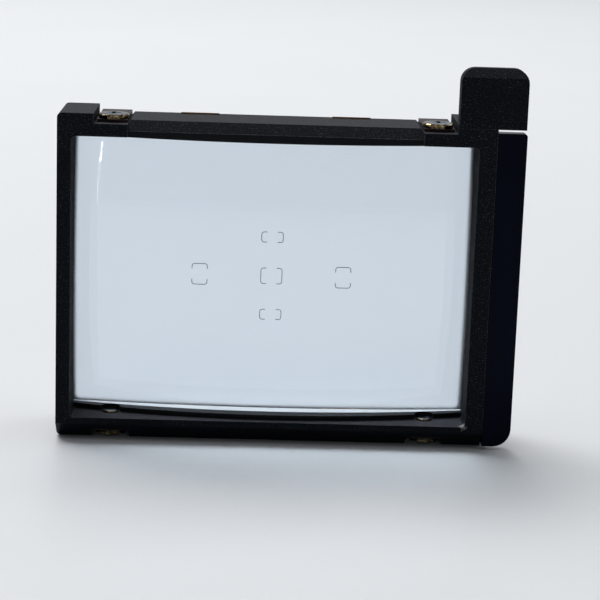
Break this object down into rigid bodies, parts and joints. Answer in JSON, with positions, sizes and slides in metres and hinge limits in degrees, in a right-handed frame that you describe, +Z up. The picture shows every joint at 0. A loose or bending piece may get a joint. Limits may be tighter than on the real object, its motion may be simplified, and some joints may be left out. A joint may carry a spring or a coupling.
{
  "type": "viewfinder focusing screen",
  "caption": "Viewfinder focusing screen: domed condenser lens on curved cradles over a ground screen, in a black frame with a grip tab and a screwed sheet retainer.",
  "frame": {"origin": "centre of the footprint at the height of the frame's bottom face", "axes": "+X to the right along the long side, towards the grip tab; +Y from the lens side to the retainer side; +Z up through the short side, to the tab's top"},
  "size_m": [0.043, 0.0086, 0.0362],
  "materials": {
    "moulded_black": "finely speckled matt black",
    "smooth_black": "smooth satin black",
    "blackened_metal": "blackened",
    "clear_glass": "polished",
    "ground_glass": "finely ground",
    "retainer_sheet": "plain pressed sheet",
    "plated_brass": "bright plated",
    "bronze_leaf": "plain spring bronze"
  },
  "bodies": {
    "frame": {"main_frame": "moulded_black", "side_plate": "smooth_black", "condenser_lens": "clear_glass", "lower_lens_cradle": "blackened_metal", "upper_lens_cradle": "blackened_metal", "screen_shim": "blackened_metal", "ground_screen": "ground_glass", "rear_retainer": "retainer_sheet", "leaf_spring_top_left": "bronze_leaf", "leaf_spring_top_right": "bronze_leaf", "leaf_spring_bottom_left": "bronze_leaf", "leaf_spring_bottom_right": "bronze_leaf"},
    "washer_top_left": {"washer_top_left": "plated_brass"},
    "screw_top_left": {"screw_top_left": "plated_brass"},
    "washer_top_right": {"washer_top_right": "plated_brass"},
    "screw_top_right": {"screw_top_right": "plated_brass"},
    "washer_bottom_left": {"washer_bottom_left": "plated_brass"},
    "screw_bottom_left": {"screw_bottom_left": "plated_brass"},
    "washer_bottom_right": {"washer_bottom_right": "plated_brass"},
    "screw_bottom_right": {"screw_bottom_right": "plated_brass"}
  },
  "joints": [
    {"name": "screw_top_left_lift", "type": "slide", "parent": "frame", "child": "washer_top_left", "axis": [0, 0, 1], "range_m": [0, 0.00125]},
    {"name": "screw_top_left_turn", "type": "hinge", "parent": "washer_top_left", "child": "screw_top_left", "pos_m": [-0.01653, -0.0018, 0.03085], "axis": [0, 0, 1], "range_deg": [0, 1801]},
    {"name": "screw_top_right_lift", "type": "slide", "parent": "frame", "child": "washer_top_right", "axis": [0, 0, 1], "range_m": [0, 0.00125]},
    {"name": "screw_top_right_turn", "type": "hinge", "parent": "washer_top_right", "child": "screw_top_right", "pos_m": [0.01348, -0.0018, 0.03085], "axis": [0, 0, 1], "range_deg": [0, 1801]},
    {"name": "screw_bottom_left_lift", "type": "slide", "parent": "frame", "child": "washer_bottom_left", "axis": [0, 0, -1], "range_m": [0, 0.00125]},
    {"name": "screw_bottom_left_turn", "type": "hinge", "parent": "washer_bottom_left", "child": "screw_bottom_left", "pos_m": [-0.01653, -0.0018, 0.00015], "axis": [0, 0, -1], "range_deg": [0, 1801]},
    {"name": "screw_bottom_right_lift", "type": "slide", "parent": "frame", "child": "washer_bottom_right", "axis": [0, 0, -1], "range_m": [0, 0.00125]},
    {"name": "screw_bottom_right_turn", "type": "hinge", "parent": "washer_bottom_right", "child": "screw_bottom_right", "pos_m": [0.01348, -0.0018, 0.00015], "axis": [0, 0, -1], "range_deg": [0, 1801]}
  ],
  "couplings": [
    {"joint": "screw_top_left_turn", "follows": "screw_top_left_lift", "rad_per_m": 25133},
    {"joint": "screw_top_right_turn", "follows": "screw_top_right_lift", "rad_per_m": 25133},
    {"joint": "screw_bottom_left_turn", "follows": "screw_bottom_left_lift", "rad_per_m": 25133},
    {"joint": "screw_bottom_right_turn", "follows": "screw_bottom_right_lift", "rad_per_m": 25133}
  ]
}
